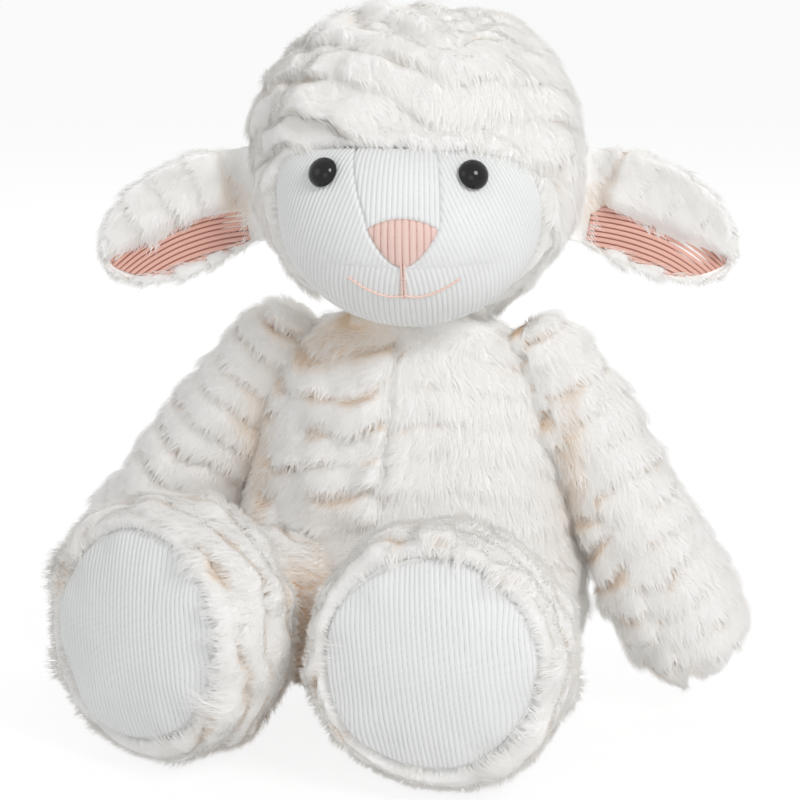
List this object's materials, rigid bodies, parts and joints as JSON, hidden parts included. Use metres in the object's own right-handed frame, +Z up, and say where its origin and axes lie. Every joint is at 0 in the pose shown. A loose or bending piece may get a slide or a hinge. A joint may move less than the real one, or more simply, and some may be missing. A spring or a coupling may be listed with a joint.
{
  "type": "plush sheep",
  "caption": "Seated plush sheep with a turning head, hinged ears, arms, legs and tail, fur covers over stuffed cores and a sewn corduroy face.",
  "frame": {"origin": "middle of the flat seat, on the surface that the toy sits on, under the neck", "axes": "+Z up; the body looks along -Y with the head turned 14 degrees to its left; +X is the sheep's own left"},
  "size_m": [0.2831, 0.2465, 0.2858],
  "materials": {
    "fur": "long cream pile with wavy ridges",
    "white_corduroy": "fine ribbed corduroy",
    "pink_corduroy": "fine ribbed corduroy",
    "pink_thread": "embroidery thread",
    "fibre": "loose polyester fibre filling",
    "pellet_cloth": "plain woven bag of pellets",
    "eye_black": "polished black",
    "washer_white": "moulded"
  },
  "bodies": {
    "torso": {"torso_cover": "fur", "torso_stuffing": "fibre", "seat_pellet_bag": "pellet_cloth"},
    "head": {"head_cover": "fur", "head_stuffing": "fibre", "face_bridge_panel": "white_corduroy", "face_cheek_left": "white_corduroy", "face_cheek_right": "white_corduroy", "nose_panel": "pink_corduroy", "mouth_stitching": "pink_thread", "eye_left": "eye_black", "eye_right": "eye_black", "eye_washer_left": "washer_white", "eye_washer_right": "washer_white"},
    "ear_left": {"ear_left_cover": "fur", "ear_left_lining": "pink_corduroy"},
    "ear_right": {"ear_right_cover": "fur", "ear_right_lining": "pink_corduroy"},
    "arm_left": {"arm_left_cover": "fur", "arm_left_stuffing": "fibre"},
    "arm_right": {"arm_right_cover": "fur", "arm_right_stuffing": "fibre"},
    "leg_left": {"leg_left_cover": "fur", "leg_left_stuffing": "fibre", "sole_left": "white_corduroy"},
    "leg_right": {"leg_right_cover": "fur", "leg_right_stuffing": "fibre", "sole_right": "white_corduroy"},
    "tail": {"tail": "fur"}
  },
  "joints": [
    {"name": "head_turn", "type": "hinge", "parent": "torso", "child": "head", "pos_m": [0, 0, 0.166], "axis": [0, 0, 1], "range_deg": [-58, 22], "stiffness_Nm_per_rad": 0.2},
    {"name": "ear_left_flap", "type": "hinge", "parent": "head", "child": "ear_left", "pos_m": [0.06828, 0.01869, 0.2055], "axis": [-0.1867, -0.0466, -0.9813], "range_deg": [-25, 25], "stiffness_Nm_per_rad": 0.01},
    {"name": "ear_right_flap", "type": "hinge", "parent": "head", "child": "ear_right", "pos_m": [-0.0653, -0.01461, 0.2055], "axis": [-0.1867, -0.0466, 0.9813], "range_deg": [-25, 25], "stiffness_Nm_per_rad": 0.01},
    {"name": "arm_left_lift", "type": "hinge", "parent": "torso", "child": "arm_left", "pos_m": [0.05595, 0, 0.14], "axis": [0, -1, 0], "range_deg": [0, 50], "stiffness_Nm_per_rad": 0.1},
    {"name": "arm_right_lift", "type": "hinge", "parent": "torso", "child": "arm_right", "pos_m": [-0.05595, 0, 0.14], "axis": [0, 1, 0], "range_deg": [0, 50], "stiffness_Nm_per_rad": 0.1},
    {"name": "leg_left_lift", "type": "hinge", "parent": "torso", "child": "leg_left", "pos_m": [0.042, -0.051, 0.04815], "axis": [-0.9994, 0.0349, 0], "range_deg": [-25, 10], "stiffness_Nm_per_rad": 0.15},
    {"name": "leg_right_lift", "type": "hinge", "parent": "torso", "child": "leg_right", "pos_m": [-0.042, -0.051, 0.04815], "axis": [-0.9063, 0.4226, 0], "range_deg": [-25, 10], "stiffness_Nm_per_rad": 0.15},
    {"name": "tail_wag", "type": "hinge", "parent": "torso", "child": "tail", "pos_m": [0, 0.06532, 0.05], "axis": [0, 0, 1], "range_deg": [-25, 25], "stiffness_Nm_per_rad": 0.02}
  ]
}
